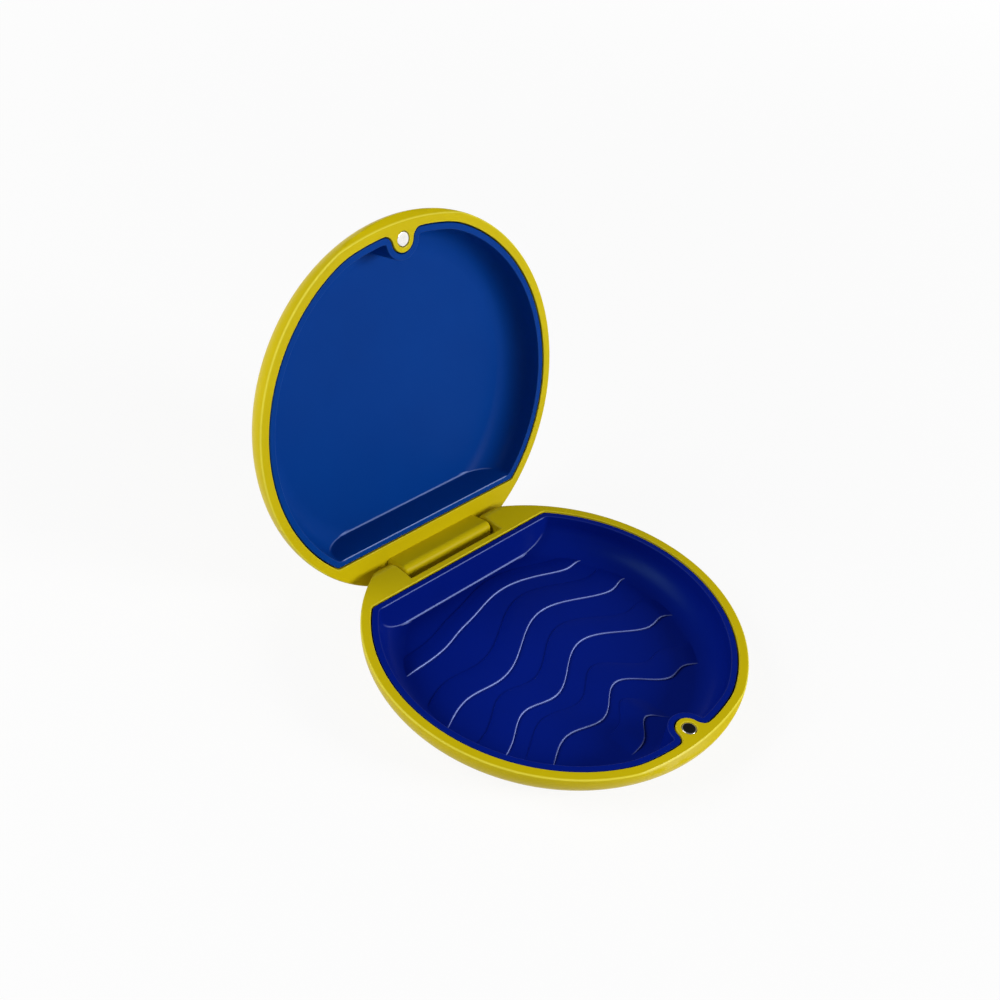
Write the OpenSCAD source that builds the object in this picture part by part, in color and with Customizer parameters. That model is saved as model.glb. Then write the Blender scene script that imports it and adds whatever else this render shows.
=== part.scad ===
// Round retainer case: two hard shells on a pin hinge, each with a soft inset tray and a closing magnet.
// Millimetres. The origin is the centre of the foot, +Z is up and the hinge lies towards +Y.
// The case stands open. Each half is drawn with its rim at z = 0, its bowl below and the hinge at +Y.

/* [Shells] */
// Outer radius of both shells
shell_r = 39; // [37:0.5:45]
// Width of the rim, from its outer edge to the tray opening
rim_w = 2; // [1.8:0.1:3.5]
// Height of each half, from its rim to its flat face
half_h = 10; // [9.5:0.25:14]
// Thickness of the shell floor
shell_floor = 1.4; // [1:0.1:2.2]
// Thickness of the sloping flank
flank_wall = 0.9; // [0.7:0.05:1.2]
// Height of the upright wall below the rim
wall_drop = 3.5; // [3.4:0.1:4.2]
// Inset of the flat face from the outer wall
foot_in = 7.7; // [7:0.1:9]
// Rounding of the outer rim edge
rim_round = 0.35; // [0.2:0.05:0.4]
// Rounding between the upright wall and the flank
shoulder_round = 6.4; // [2:0.1:6.5]
// Rounding between the flank and the flat face
foot_round = 3; // [0.5:0.1:4]
// Gap between the two rims when the case is closed
rim_gap = 0.2; // [0.15:0.05:0.4]

/* [Trays] */
// Distance from the front of the opening to its straight back edge, beyond a half circle
chord_in = 9.7; // [8:0.1:11]
// Gap between a tray and its shell
tray_gap = 0.25; // [0.15:0.05:0.4]
// Width of the tray's rim
tray_lip = 1.3; // [1:0.05:1.4]
// Thickness of the tray floor
tray_floor = 1.1; // [0.9:0.1:1.6]
// Depth of the tray's rim below the shell's rim
tray_drop = 0.2; // [0.1:0.05:0.4]
// Rounding between the tray's round wall and its floor
dish_round = 6; // [3:0.25:6.5]
// Slope of the tray walls from upright, degrees
wall_draft = 5; // [2:0.5:7]

/* [Drain ribs] */
// Height of the wavy ribs on the base tray
rib_h = 0.5; // [0.3:0.05:0.9]
// Width of a rib from back to front
rib_w = 6.4; // [4:0.1:6.8]

/* [Hinge] */
// Distance from the back edge of the opening to the hinge axis
hinge_set = 5.9; // [5.5:0.1:7]
// Depth of the hinge axis below the base rim
hinge_drop = 2.75; // [2.6:0.05:3.2]
// Opening angle of the lid at its stop, degrees
open_angle = 104; // [95:1:115]
// Diameter of the hinge pin
pin_d = 2; // [1.5:0.1:2.4]
// Width of the pocket in the base
pocket_w = 26; // [18:0.5:30]
// Wall left between the pocket and the opening
pocket_wall = 1.5; // [1:0.1:2]
// How much smaller the knuckle's radius is than the ears'
knuckle_inset = 0.1; // [0.05:0.01:0.3]
// Side gap between the knuckle and each ear
knuckle_gap = 0.5; // [0.2:0.05:0.8]
// Gap between the knuckle and the pocket
pocket_gap = 0.5; // [0.3:0.05:0.8]
// Thickness of the base below the pocket
pocket_floor = 1.8; // [1.2:0.1:3]
// Wall of the hinge block on each side of the pocket
block_wall = 1; // [0.8:0.1:1.4]
// Length of the pin held in each ear
ear_grip = 4.25; // [3:0.25:4.5]
// Gap round the pin in the knuckle
pin_run_gap = 0.05; // [0.02:0.01:0.1]
// Gap round the pin in the ears
pin_push_gap = 0.01; // [0.01:0.01:0.04]

/* [Magnets] */
// Diameter of a magnet
magnet_d = 3; // [2:0.1:3.4]
// Thickness of a magnet
magnet_t = 2; // [1:0.1:4]
// Depth of a magnet's face below the rim
magnet_recess = 0.1; // [0.05:0.05:0.3]
// Gap round a magnet in its hole
magnet_gap = 0.08; // [0.02:0.01:0.15]
// Distance from the front of the opening to a magnet's centre
magnet_set = 2.7; // [2.4:0.1:3.2]
// Wall of the boss round a magnet
boss_wall = 1; // [0.8:0.05:1.4]
// Rounding between the boss and the rim
boss_round = 2.4; // [1.8:0.05:2.8]
// How far that rounding runs into the rim
flare_bite = 0.12; // [0.08:0.01:0.2]

/* [Finger notch] */
// Depth of the notch at the middle of the front edge
notch_in = 1.4; // [0.6:0.1:1.6]
// Radius of the notch's edge, seen from above
notch_r = 57; // [48:1:80]
// Width of the rim along the notch
notch_rim = 1.55; // [1.3:0.05:1.9]

/* [Hidden] */
$fn = 96;
shell_colour = [0.83, 0.75, 0.06];
base_tray_colour = [0.02, 0.07, 0.42];
lid_tray_colour = [0.05, 0.2, 0.52];
steel_colour = [0.75, 0.76, 0.78];

// Reach of a cut past the face that it opens
over = 1;
opening_r = shell_r - rim_w;
foot_r = shell_r - foot_in;
chord_y = opening_r - chord_in;
pocket_z = shell_floor - half_h;
tray_wall_set = tray_gap + tray_lip;
cavity_z = pocket_z + tray_floor;

// The sloping flank's outward direction, and where its inner face meets the opening and the floor
flank = unit([half_h - wall_drop, foot_in]);
flank_reach = flank * [shell_r, wall_drop] - flank_wall;
flank_top_z = -(flank_reach - flank[0] * opening_r) / flank[1];
flank_foot_r = (flank_reach + flank[1] * pocket_z) / flank[0];

// Hinge: the ears' round back is level with the rim, and the lid's rim stops against their flat back face
hinge_y = chord_y + hinge_set;
hinge = [hinge_y, -hinge_drop];
ear_r = hinge_drop;
lean = open_angle - 90;
knuckle_r = ear_r - knuckle_inset;
knuckle_w = pocket_w - 2 * knuckle_gap;
pocket_depth = hinge_drop + knuckle_r + ear_r * sin(lean) + pocket_gap;
block_depth = pocket_depth + pocket_floor;
block_w = pocket_w + 2 * block_wall;
pin_l = pocket_w + 2 * ear_grip;

// Centre of the notch's edge and of the opening's flatter front edge, and that front edge's radius
notch_y = notch_r + notch_in - shell_r;
front_r = notch_r - notch_rim;

magnet_y = magnet_set - opening_r;
boss_r = magnet_d / 2 + magnet_gap + boss_wall;

// The flat part of the tray floor, and the radius that keeps the ribs' ends within the tray's wall
floor_r = opening_r - tray_wall_set + cavity_z * tan(wall_draft) - dish_round;
rib_end_r = floor_r + sqrt(2 * dish_round * rib_h) + tray_floor / 4;
// Points along half of a rib's edge
rib_steps = 24;
// Arc pieces in a rounded corner
round_steps = 8;

function unit(v) = v / norm(v);

// Points of an arc about a centre
function arc(centre, r, from, sweep, steps) =
    [for (i = [0:steps]) let (a = from + sweep * i / steps) centre + r * [cos(a), sin(a)]];

// Arc that rounds the corner at b between a and c
function rounded_corner(a, b, c, r) =
    let (u = unit(a - b), v = unit(c - b), half = acos(u * v) / 2,
         centre = b + unit(u + v) * r / sin(half),
         start = b + u * r / tan(half) - centre,
         end = b + v * r / tan(half) - centre,
         from = atan2(start[1], start[0]),
         sweep = (atan2(end[1], end[0]) - from + 540) % 360 - 180)
    arc(centre, r, from, sweep, round_steps);

// Outline through corners given as [x, y, radius]
function rounded(corners) =
    let (n = len(corners), p = [for (c = corners) [c[0], c[1]]])
    [for (i = [0:n - 1]) each corners[i][2] == 0 ? [p[i]]
        : rounded_corner(p[(i + n - 1) % n], p[i], p[(i + 1) % n], corners[i][2])];

// Outline of the magnet boss, grown by a margin, flaring into the rim and running on past it
function boss_outline(grow) =
    let (r = boss_r + grow, fillet = boss_round - grow, spread = notch_y - magnet_y,
         to_nose = boss_r + boss_round, to_front = front_r - boss_round + flare_bite,
         rise = (pow(to_nose, 2) - pow(to_front, 2) + pow(spread, 2)) / (2 * spread),
         x = sqrt(pow(to_nose, 2) - pow(rise, 2)), y = magnet_y + rise,
         flare = atan2(y - notch_y, x), lift = atan2(rise, x))
    concat(
        [[x, -shell_r]],
        arc([x, y], fillet, flare, lift - 180 - flare, round_steps),
        arc([0, magnet_y], r, lift, 180 - 2 * lift, 2 * round_steps),
        arc([-x, y], fillet, -lift, lift - 180 - flare, round_steps),
        [[-x, -shell_r]]);

// Front edge of a rib: a main crest, a lower crest to the left and a slight tilt.
// A wave is [distance from the straight edge, main x, height, width, side x, height, width, tilt, rib's share
// of the full width].
function bump(x, at, height, width) = height * exp(-pow((x - at) / width, 2));
function wave_y(w, x) = chord_y - w[0] + bump(x, w[1], w[2], w[3]) + bump(x, w[4], w[5], w[6]) + w[7] * x;

// The waves from back to front, sharper and shorter towards the front
waves = [
    [13.2, 5, 5.7, 12.5, -14, 1.4, 6, 0.03, 0.68],
    [26, 6.2, 7.6, 12.8, -23, 3.4, 7.6, 0.12, 1],
    [38.4, 7, 9, 11.7, -16, 4.8, 6.6, 0.09, 1],
    [48.7, 3.8, 7.2, 7.2, -14, 5, 7.3, 0.05, 1],
    [55.7, 1.8, 4.5, 3.8, -14, 0.3, 5, 0, 1]
];

// Half of a case, seen as a solid of revolution
module outer_form() {
    rotate_extrude()
        polygon(rounded([
            [0, 0, 0],
            [shell_r, 0, rim_round],
            [shell_r, -wall_drop, shoulder_round],
            [foot_r, -half_h, foot_round],
            [0, -half_h, 0]]));
}

// Space for a tray in a shell, made smaller all round by a margin
module tray_space(margin, top) {
    intersection() {
        rotate_extrude()
            polygon(rounded([
                [0, top, 0],
                [opening_r - margin, top, 0],
                [opening_r - margin, flank_top_z, shoulder_round],
                [flank_foot_r - margin, pocket_z, foot_round],
                [0, pocket_z, 0]]));
        translate([-shell_r, -2 * shell_r, -2 * half_h])
            cube([2 * shell_r, 2 * shell_r + chord_y - margin, 3 * half_h]);
        translate([0, notch_y, -2 * half_h])
            cylinder(h = 3 * half_h, r = front_r - margin);
    }
}

// Bowl of a tray, open at the top
module tray_bowl() {
    wall_r = opening_r - tray_wall_set;
    intersection() {
        rotate_extrude()
            polygon(rounded([
                [0, over, 0],
                [wall_r + over * tan(wall_draft), over, 0],
                [wall_r + cavity_z * tan(wall_draft), cavity_z, dish_round],
                [0, cavity_z, 0]]));
        translate([0, chord_y - tray_wall_set, 0])
            rotate([-wall_draft, 0, 0])
            translate([-shell_r, -2 * shell_r, -2 * half_h])
            cube([2 * shell_r, 2 * shell_r, 3 * half_h]);
        translate([0, notch_y, -half_h])
            cylinder(
                h = half_h + over,
                r1 = front_r - tray_wall_set - half_h * tan(wall_draft),
                r2 = front_r - tray_wall_set + over * tan(wall_draft));
    }
}

module boss(grow, top) {
    translate([0, 0, -half_h])
        linear_extrude(half_h + top)
        polygon(boss_outline(grow));
}

// Cone that leaves the crescent notch along the front edge
module notch_limit() {
    translate([0, notch_y, -half_h])
        cylinder(h = half_h + over, r1 = notch_r + half_h, r2 = notch_r - over);
}

module magnet_hole() {
    translate([0, magnet_y, -magnet_recess - magnet_t])
        cylinder(h = magnet_recess + magnet_t + over, d = magnet_d + 2 * magnet_gap);
}

// Extrudes a drawing of y and z along the hinge
module along_hinge(width) {
    rotate([90, 0, 90])
        linear_extrude(width, center = true)
        children();
}

// Everything in front of the hinge and its ears' rounded back
module ear_limit() {
    stop = hinge + ear_r * [cos(lean), -sin(lean)];
    along_hinge(2 * shell_r)
        polygon(concat(
            [[-shell_r - over, over], [hinge_y, over]],
            arc(hinge, ear_r, 90, -open_angle, 3 * round_steps),
            [stop - half_h * [tan(lean), 1], [-shell_r - over, stop[1] - half_h]]));
}

// A shell before its hinge is cut: the outer form with the tray's space, the boss and the notch
module bowl_shell() {
    difference() {
        intersection() {
            outer_form();
            notch_limit();
        }
        difference() {
            tray_space(0, over);
            boss(0, over);
        }
        magnet_hole();
    }
}

// A tray with its lip, its way round the boss and a plain floor
module tray() {
    difference() {
        tray_space(tray_gap, -tray_drop);
        boss(tray_gap, over);
        difference() {
            tray_bowl();
            boss(tray_wall_set, over);
        }
    }
}

// Wavy ribs on a tray floor, clear of the boss and sunk a little into the floor
module drain_ribs() {
    sink = tray_floor / 4;
    intersection() {
        translate([0, 0, cavity_z - sink])
            linear_extrude(rib_h + sink)
            for (wave = waves)
                polygon([
                    for (side = [0, 1], i = [-rib_steps:rib_steps])
                        let (x = (side == 0 ? i : -i) / rib_steps * rib_end_r)
                        [x, wave_y(wave, x) + side * wave[8] * rib_w]]);
        difference() {
            translate([0, 0, cavity_z - tray_floor / 2])
                cylinder(h = tray_floor, r = rib_end_r);
            boss(tray_wall_set - sink, over);
        }
    }
}

module magnet() {
    translate([0, magnet_y, -magnet_recess - magnet_t])
        cylinder(h = magnet_t, d = magnet_d);
}

// Puts a half in the lower place
module as_base() {
    translate([0, 0, half_h])
        children();
}

// Puts a half over the base and swings it open to its stop
module as_lid() {
    translate([0, hinge_y, half_h - hinge_drop])
        rotate([-open_angle, 0, 0])
        translate([0, -hinge_y, hinge_drop + rim_gap])
        mirror([0, 0, 1])
        children();
}

// Lower shell with the hinge block, its pocket, the ears and the pin's hole
module base_shell() {
    color(shell_colour)
        as_base()
        difference() {
            intersection() {
                union() {
                    bowl_shell();
                    translate([-block_w / 2, chord_y, -block_depth])
                        cube([block_w, shell_r - chord_y, block_depth - wall_drop]);
                }
                ear_limit();
            }
            translate([-pocket_w / 2, chord_y + pocket_wall, -pocket_depth])
                cube([pocket_w, shell_r, pocket_depth + over]);
            translate([-pin_l / 2, hinge_y, -hinge_drop])
                rotate([0, 90, 0])
                cylinder(h = pin_l + shell_r, d = pin_d + 2 * pin_push_gap);
        }
}

module base_liner() {
    color(base_tray_colour)
        as_base() {
            tray();
            drain_ribs();
        }
}

module base_magnet() {
    color(steel_colour)
        as_base()
        magnet();
}

module hinge_pin() {
    color(steel_colour)
        as_base()
        translate([-pin_l / 2, hinge_y, -hinge_drop])
        rotate([0, 90, 0])
        cylinder(h = pin_l, d = pin_d);
}

// Upper shell with its back cut off flush and the half-round knuckle
module lid_shell() {
    knuckle = [hinge_y, hinge_drop + rim_gap];
    color(shell_colour)
        as_lid()
        difference() {
            union() {
                intersection() {
                    bowl_shell();
                    translate([-shell_r - over, -shell_r - over, -half_h - over])
                        cube([2 * (shell_r + over), shell_r + over + hinge_y + ear_r, half_h + 2 * over]);
                }
                along_hinge(knuckle_w)
                    polygon(concat(
                        arc(knuckle, knuckle_r, 0, 180, 3 * round_steps),
                        [[hinge_y - knuckle_r, -over], [hinge_y + knuckle_r, -over]]));
            }
            translate([-knuckle_w / 2 - over, hinge_y, hinge_drop + rim_gap])
                rotate([0, 90, 0])
                cylinder(h = knuckle_w + 2 * over, d = pin_d + 2 * pin_run_gap);
        }
}

module lid_liner() {
    color(lid_tray_colour)
        as_lid()
        tray();
}

module lid_magnet() {
    color(steel_colour)
        as_lid()
        magnet();
}

base_shell();
base_liner();
base_magnet();
hinge_pin();
lid_shell();
lid_liner();
lid_magnet();
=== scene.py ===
"""Dresses a round hinged retainer case: two hard shells, two soft trays, a hinge pin and two magnets."""

import logging
import math
from dataclasses import dataclass, replace
from enum import Enum
from typing import Sequence, Union

import bmesh
import bpy
import numpy as np
from mathutils import Matrix, Vector


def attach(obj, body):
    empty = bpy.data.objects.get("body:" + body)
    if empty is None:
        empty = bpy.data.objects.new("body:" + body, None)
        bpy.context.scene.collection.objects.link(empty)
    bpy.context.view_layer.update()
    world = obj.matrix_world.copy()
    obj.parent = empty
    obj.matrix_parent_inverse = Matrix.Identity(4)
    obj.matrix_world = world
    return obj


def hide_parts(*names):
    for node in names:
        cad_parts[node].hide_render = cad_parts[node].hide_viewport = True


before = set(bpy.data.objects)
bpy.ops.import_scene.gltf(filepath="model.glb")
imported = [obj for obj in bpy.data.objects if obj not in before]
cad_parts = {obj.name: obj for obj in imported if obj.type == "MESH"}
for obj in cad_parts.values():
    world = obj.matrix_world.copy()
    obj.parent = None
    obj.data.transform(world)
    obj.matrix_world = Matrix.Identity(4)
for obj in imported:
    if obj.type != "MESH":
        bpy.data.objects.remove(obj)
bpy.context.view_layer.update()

LOG = logging.getLogger("retainer_case")
MM = 0.001
MERGE_DISTANCE = 0.002
SHARP_ANGLE = math.radians(32)
END_ANGLE = 1.0
NORMAL_WEIGHT = 80
# Layer that marks edges for a painted highlight, a paler colour that stands in for light glinting off them
PAINTED_HIGHLIGHT_LAYER = "painted_edge_highlight"
WHITE = (1.0, 1.0, 1.0, 1.0)

Flat = tuple[float, float]
Triple = tuple[float, float, float]


def arc_points(centre: Flat, radius: float, start: float, sweep: float, steps: int) -> list[Flat]:
    """Points along an arc from a start angle over a sweep in radians, both ends included."""
    turns = [start + sweep * i / steps for i in range(steps + 1)]
    return [(centre[0] + radius * math.cos(a), centre[1] + radius * math.sin(a)) for a in turns]


def line_points(first: Flat, last: Flat, steps: int) -> list[Flat]:
    """Evenly spread points from first up to, but without, last."""
    spread = [i / steps for i in range(steps)]
    return [(first[0] + (last[0] - first[0]) * t, first[1] + (last[1] - first[1]) * t) for t in spread]


def rounded_path(corners: Sequence[Triple], steps: int) -> list[Flat]:
    """Open path through corners, each with its own rounding.

    Args:
        corners: Each corner as its two coordinates and its radius.
        steps: Number of pieces in a rounded corner.

    Returns:
        The path's points.
    """
    path: list[Flat] = []
    for i, (x, y, radius) in enumerate(corners):
        if radius == 0:
            path.append((x, y))
            continue
        corner = Vector((x, y))
        back = (Vector(corners[i - 1][:2]) - corner).normalized()
        ahead = (Vector(corners[i + 1][:2]) - corner).normalized()
        half = back.angle(ahead) / 2
        centre = corner + (back + ahead).normalized() * radius / math.sin(half)
        start = corner + back * radius / math.tan(half) - centre
        end = corner + ahead * radius / math.tan(half) - centre
        first = math.atan2(start.y, start.x)
        sweep = (math.atan2(end.y, end.x) - first + 3 * math.pi) % (2 * math.pi) - math.pi
        path.extend(arc_points((centre.x, centre.y), radius, first, sweep, steps))
    return path


def drawn_in(x: float, y: float, centre: float, radius: float) -> Flat:
    """Moves a point in to a circle whose centre lies on the middle line."""
    shrink = min(1.0, radius / math.hypot(x, y - centre))
    return x * shrink, centre + (y - centre) * shrink


def mirrored_ring(half: Sequence[Flat], z: float) -> list[Vector]:
    """Closed ring at a height from its right half, which starts and ends on the middle line."""
    left = [(-x, y) for x, y in reversed(half[1:-1])]
    return [Vector((x, y, z)) for x, y in [*half, *left]]


def rounding_shine(rise: float) -> float:
    """Painted highlight on a rounded edge at a share of its height: none where it starts and ends, full in
    between.
    """
    share = min(1.0, max(0.0, rise))
    return 2.0 * share * math.sqrt(1.0 - share * share)


def swell(x: float, middle: float, height: float, width: float) -> float:
    """Height of a smooth crest at a place along the hinge."""
    return height * math.exp(-(((x - middle) / width) ** 2))


def mesh_data(form: bmesh.types.BMesh, name: str) -> bpy.types.Mesh:
    """Turns a drawn form into a mesh and frees the form.

    Args:
        form: The drawn form.
        name: Name of the mesh.

    Returns:
        The mesh.
    """
    data = bpy.data.meshes.new(name)
    form.to_mesh(data)
    form.free()
    return data


def put_in_scene(name: str, data: bpy.types.ID) -> bpy.types.Object:
    """Makes an object and links it to the scene.

    Args:
        name: Name of the object.
        data: Its mesh, lamp or camera.

    Returns:
        The object.
    """
    made = bpy.data.objects.new(name, data)
    bpy.context.scene.collection.objects.link(made)
    return made


def add_rod(mesh: bmesh.types.BMesh, radius: float, length: float, place: Matrix, sides: int) -> None:
    """Adds a closed round rod, which lies along its own z axis."""
    ends = {"radius1": radius, "radius2": radius}
    bmesh.ops.create_cone(mesh, cap_ends=True, segments=sides, depth=length, matrix=place, **ends)


def bevel_ends(mesh: bmesh.types.BMesh, offset: float, steps: int) -> None:
    """Rounds both ends of a rod."""
    ends = [edge for edge in mesh.edges if edge.calc_face_angle(0.0) > END_ANGLE]
    bmesh.ops.bevel(mesh, geom=ends, offset=offset, affect="EDGES", segments=steps, profile=0.5, material=-1)


@dataclass(frozen=True)
class CaseSizes:
    """Lengths of the case in millimetres. A half has its rim at z = 0, its bowl below and the hinge at +Y."""

    shell_r: float = 39.0
    opening_r: float = 37.0
    half_h: float = 10.0
    shell_floor: float = 1.4
    flank_wall: float = 0.9
    wall_drop: float = 3.5
    foot_r: float = 31.3
    rim_round: float = 0.35
    shoulder_round: float = 6.4
    foot_round: float = 3.0
    rim_gap: float = 0.2
    chord_y: float = 27.3
    tray_gap: float = 0.25
    tray_lip: float = 1.3
    tray_floor: float = 1.1
    tray_drop: float = 0.2
    dish_round: float = 6.0
    wall_draft: float = math.radians(5.0)
    rib_h: float = 0.5
    rib_w: float = 6.4
    hinge_y: float = 33.2
    hinge_drop: float = 2.75
    open_angle: float = math.radians(104.0)
    pin_r: float = 1.0
    pin_half: float = 17.25
    pin_hold_gap: float = 0.02
    pin_run_gap: float = 0.05
    pocket_half: float = 13.0
    pocket_y: float = 28.8
    pocket_depth: float = 6.57
    block_half: float = 14.0
    block_depth: float = 8.37
    knuckle_r: float = 2.65
    knuckle_half: float = 12.5
    magnet_r: float = 1.5
    magnet_t: float = 2.0
    magnet_recess: float = 0.1
    magnet_gap: float = 0.08
    magnet_y: float = -34.3
    boss_r: float = 2.58
    boss_round: float = 2.4
    flare_bite: float = 0.12
    notch_in: float = 1.4
    notch_r: float = 57.0
    notch_rim: float = 1.55

    @property
    def notch_y(self) -> float:
        """Centre of the finger notch's edge and of the opening's flatter front edge."""
        return self.notch_r + self.notch_in - self.shell_r

    @property
    def front_r(self) -> float:
        """Radius of the opening's flatter front edge."""
        return self.notch_r - self.notch_rim

    @property
    def lean(self) -> float:
        """Angle by which the open lid leans back."""
        return self.open_angle - math.pi / 2

    @property
    def pocket_z(self) -> float:
        """Height of a shell's inner floor."""
        return self.shell_floor - self.half_h

    @property
    def cavity_z(self) -> float:
        """Height of a tray's floor."""
        return self.pocket_z + self.tray_floor

    def flank_r(self, z: float) -> float:
        """Radius of the flank's inner face.

        Args:
            z: Height.

        Returns:
            The radius there.
        """
        out = Vector((self.half_h - self.wall_drop, self.shell_r - self.foot_r)).normalized()
        reach = out.dot(Vector((self.shell_r, self.wall_drop))) - self.flank_wall
        return min(self.opening_r, (reach + out.y * z) / out.x)

    def back_y(self, z: float) -> float:
        """How far back the ears of the base reach: their round back, then the lid's stop face.

        Args:
            z: Height.

        Returns:
            The reach there.
        """
        drop = z + self.hinge_drop
        stop = -self.hinge_drop * math.sin(self.lean)
        if drop > stop:
            return self.hinge_y + math.sqrt(max(0.0, self.hinge_drop**2 - drop**2))
        return self.hinge_y + self.hinge_drop * math.cos(self.lean) + (drop - stop) * math.tan(self.lean)


class Half(Enum):
    """The two halves of the case, named after the bodies that carry them."""

    BASE = "base"
    LID = "lid"

    def placing(self, sizes: CaseSizes) -> Matrix:
        """Where a half that is drawn in millimetres goes in the frame.

        Args:
            sizes: Lengths of the case.

        Returns:
            The half's transform, in metres.
        """
        if self is Half.BASE:
            return Matrix.Scale(MM, 4) @ Matrix.Translation((0, 0, sizes.half_h))
        return (
            Matrix.Scale(MM, 4)
            @ Matrix.Translation((0, sizes.hinge_y, sizes.half_h - sizes.hinge_drop))
            @ Matrix.Rotation(-sizes.open_angle, 4, "X")
            @ Matrix.Translation((0, -sizes.hinge_y, sizes.hinge_drop + sizes.rim_gap))
            @ Matrix.Scale(-1, 4, (0, 0, 1))
        )


class Wire:
    """A shader value whose arithmetic adds Math nodes."""

    def __init__(self, graph: "Graph", socket: bpy.types.NodeSocket) -> None:
        """Wraps an output socket of a graph."""
        self.graph = graph
        self.socket = socket

    def math(self, operation: str, left: "Value", right: "Value") -> "Wire":
        """Adds one Math node and gives its result."""
        return self.graph.add("ShaderNodeMath", {"operation": operation}, {0: left, 1: right})

    def __add__(self, other: "Value") -> "Wire":
        """Sum."""
        return self.math("ADD", self, other)

    def __radd__(self, other: "Value") -> "Wire":
        """Sum with a plain number first."""
        return self.math("ADD", other, self)

    def __sub__(self, other: "Value") -> "Wire":
        """Difference."""
        return self.math("SUBTRACT", self, other)

    def __rsub__(self, other: "Value") -> "Wire":
        """Difference from a plain number."""
        return self.math("SUBTRACT", other, self)

    def __mul__(self, other: "Value") -> "Wire":
        """Product."""
        return self.math("MULTIPLY", self, other)

    def __rmul__(self, other: "Value") -> "Wire":
        """Product with a plain number first."""
        return self.math("MULTIPLY", other, self)

    def maximum(self, other: "Value") -> "Wire":
        """The larger of two values."""
        return self.math("MAXIMUM", self, other)

    def minimum(self, other: "Value") -> "Wire":
        """The smaller of two values."""
        return self.math("MINIMUM", self, other)

    def swing(self, gain: float, middle: float) -> "Wire":
        """Noise around one half, made to swing about another middle."""
        return (self - 0.5) * gain + middle


Value = Union[float, Sequence[float], Wire]
Settings = dict[str, object]
Sockets = dict[Union[int, str], Value]


class Graph:
    """The node tree of one material or world."""

    def __init__(self, tree: bpy.types.NodeTree) -> None:
        """Empties a node tree and takes it over."""
        tree.nodes.clear()
        self.tree = tree

    def node(self, kind: str, settings: Settings, inputs: Sockets) -> bpy.types.Node:
        """Adds one node.

        Args:
            kind: The node's type.
            settings: Its properties.
            inputs: Values or wires for its sockets.

        Returns:
            The node.
        """
        made = self.tree.nodes.new(kind)
        for name, setting in settings.items():
            setattr(made, name, setting)
        for name, value in inputs.items():
            if isinstance(value, Wire):
                self.tree.links.new(value.socket, made.inputs[name])
            else:
                made.inputs[name].default_value = value
        return made

    def add(self, kind: str, settings: Settings, inputs: Sockets, output: Union[int, str] = 0) -> Wire:
        """Adds one node and gives one of its outputs."""
        return Wire(self, self.node(kind, settings, inputs).outputs[output])

    def noise(self, place: Wire, scale: float, detail: float, rough: float = 0.5) -> Wire:
        """Soft noise around one half, with its waves per metre, its octaves and the finer ones' weight."""
        sockets = {"Vector": place, "Scale": scale, "Detail": detail, "Roughness": rough}
        return self.add("ShaderNodeTexNoise", {}, sockets)

    def blend(self, factor: Value, first: Value, second: Value) -> Wire:
        """Mixes two colours by the share of the second."""
        settings = {"data_type": "RGBA", "clamp_factor": True}
        return self.add("ShaderNodeMix", settings, {0: factor, 6: first, 7: second}, 2)

    def bump(self, height: Wire, depth: float) -> Wire:
        """Fine relief whose full height is a depth in millimetres."""
        return self.add("ShaderNodeBump", {}, {"Strength": 1.0, "Distance": depth * MM, "Height": height})

    def surface(self, shader: Wire) -> None:
        """Puts a shader on the material's surface."""
        self.node("ShaderNodeOutputMaterial", {}, {"Surface": shader})


def new_material(name: str) -> tuple[bpy.types.Material, Graph]:
    """Makes a material with no nodes yet.

    Args:
        name: Name of the material.

    Returns:
        The material and its node tree.
    """
    made = bpy.data.materials.new(name)
    made.use_nodes = True
    return made, Graph(made.node_tree)


@dataclass(frozen=True)
class MouldedPlastic:
    """Moulded plastic: a tint that drifts a little, a fine grain, uneven gloss, and paler, glossier edges
    where a highlight is painted on.
    """

    name: str
    tint: Triple
    tint_deep: Triple
    painted_highlight_tint: Triple
    painted_highlight_share: float
    roughness: float
    gloss_drift: float
    specular: float
    grain_scale: float
    grain_height: float
    sheen: Triple = (1.0, 1.0, 1.0)
    edge_gloss: float = 0.1
    drift_scale: float = 55.0
    drift_gain: float = 1.6
    speck_share: float = 0.35

    def material(self) -> bpy.types.Material:
        """Makes the material.

        Returns:
            The finished material.
        """
        made, graph = new_material(self.name)
        place = graph.add("ShaderNodeTexCoord", {}, {}, "Object")
        drift = graph.noise(place, self.drift_scale, detail=3.0)
        speck = graph.noise(place, self.grain_scale * self.speck_share, detail=2.0)
        grain = graph.noise(place, self.grain_scale, detail=3.0, rough=0.6)
        # Marked edges get a paler colour: a painted highlight
        edge = graph.add("ShaderNodeAttribute", {"attribute_name": PAINTED_HIGHLIGHT_LAYER}, {}, "Fac")
        plain = graph.blend(drift.swing(self.drift_gain, 0.5), (*self.tint, 1.0), (*self.tint_deep, 1.0))
        sockets = {
            "Base Color": graph.blend(edge * self.painted_highlight_share, plain, (*self.painted_highlight_tint, 1.0)),
            "Roughness": (drift + speck - 1.0) * self.gloss_drift + self.roughness - edge * self.edge_gloss,
            "Specular IOR Level": self.specular,
            "Specular Tint": (*self.sheen, 1.0),
            "Normal": graph.bump(grain, self.grain_height),
        }
        graph.surface(graph.add("ShaderNodeBsdfPrincipled", {}, sockets))
        return made


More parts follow.
